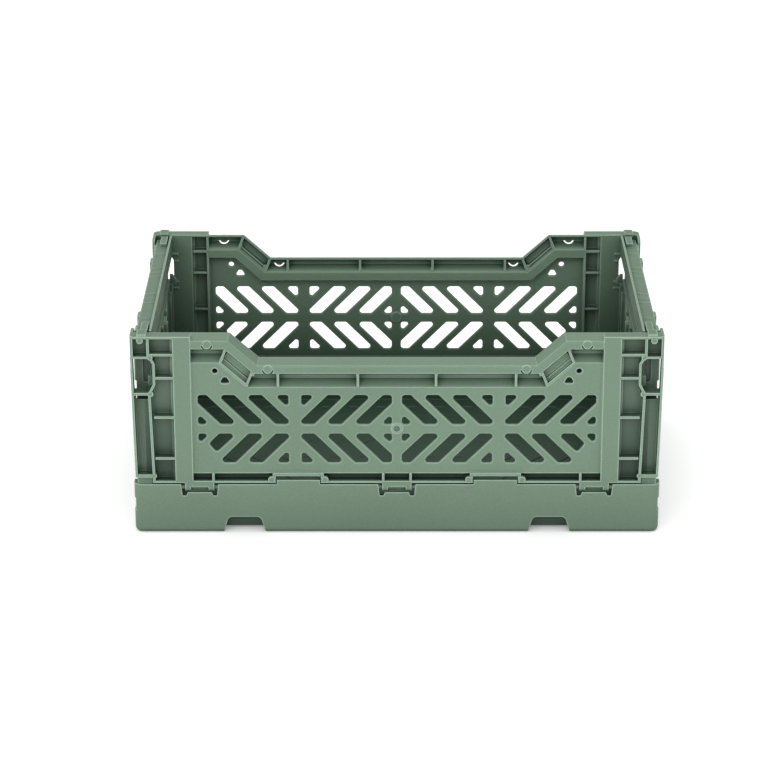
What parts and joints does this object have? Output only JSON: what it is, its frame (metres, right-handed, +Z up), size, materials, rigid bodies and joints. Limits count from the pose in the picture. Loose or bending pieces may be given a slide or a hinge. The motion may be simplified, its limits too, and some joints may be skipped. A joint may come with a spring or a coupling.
{
  "type": "collapsible storage crate",
  "caption": "Small folding storage crate in matte plastic, with slotted walls, dipped long sides and hinges along the tray.",
  "frame": {"origin": "on the ground under the middle of the upright crate", "axes": "+X along the crate's long side, +Y across it towards the back wall, +Z up"},
  "size_m": [0.27, 0.1728, 0.1085],
  "materials": {
    "crate_plastic": "satin sage green moulded polypropylene"
  },
  "bodies": {
    "base": {"base_tray": "crate_plastic"},
    "front": {"front_wall": "crate_plastic"},
    "back": {"back_wall": "crate_plastic"},
    "left": {"left_wall": "crate_plastic"},
    "right": {"right_wall": "crate_plastic"}
  },
  "joints": [
    {"name": "left_wall_hinge", "type": "hinge", "parent": "base", "child": "left", "pos_m": [-0.1293, 0, 0.015], "axis": [0, 1, 0], "range_deg": [0, 90]},
    {"name": "right_wall_hinge", "type": "hinge", "parent": "base", "child": "right", "pos_m": [0.1293, 0, 0.015], "axis": [0, -1, 0], "range_deg": [0, 90]},
    {"name": "front_wall_hinge", "type": "hinge", "parent": "base", "child": "front", "pos_m": [0, -0.0836, 0.025], "axis": [-1, 0, 0], "range_deg": [0, 0.8]},
    {"name": "back_wall_hinge", "type": "hinge", "parent": "base", "child": "back", "pos_m": [0, 0.0836, 0.025], "axis": [1, 0, 0], "range_deg": [0, 0.8]}
  ]
}
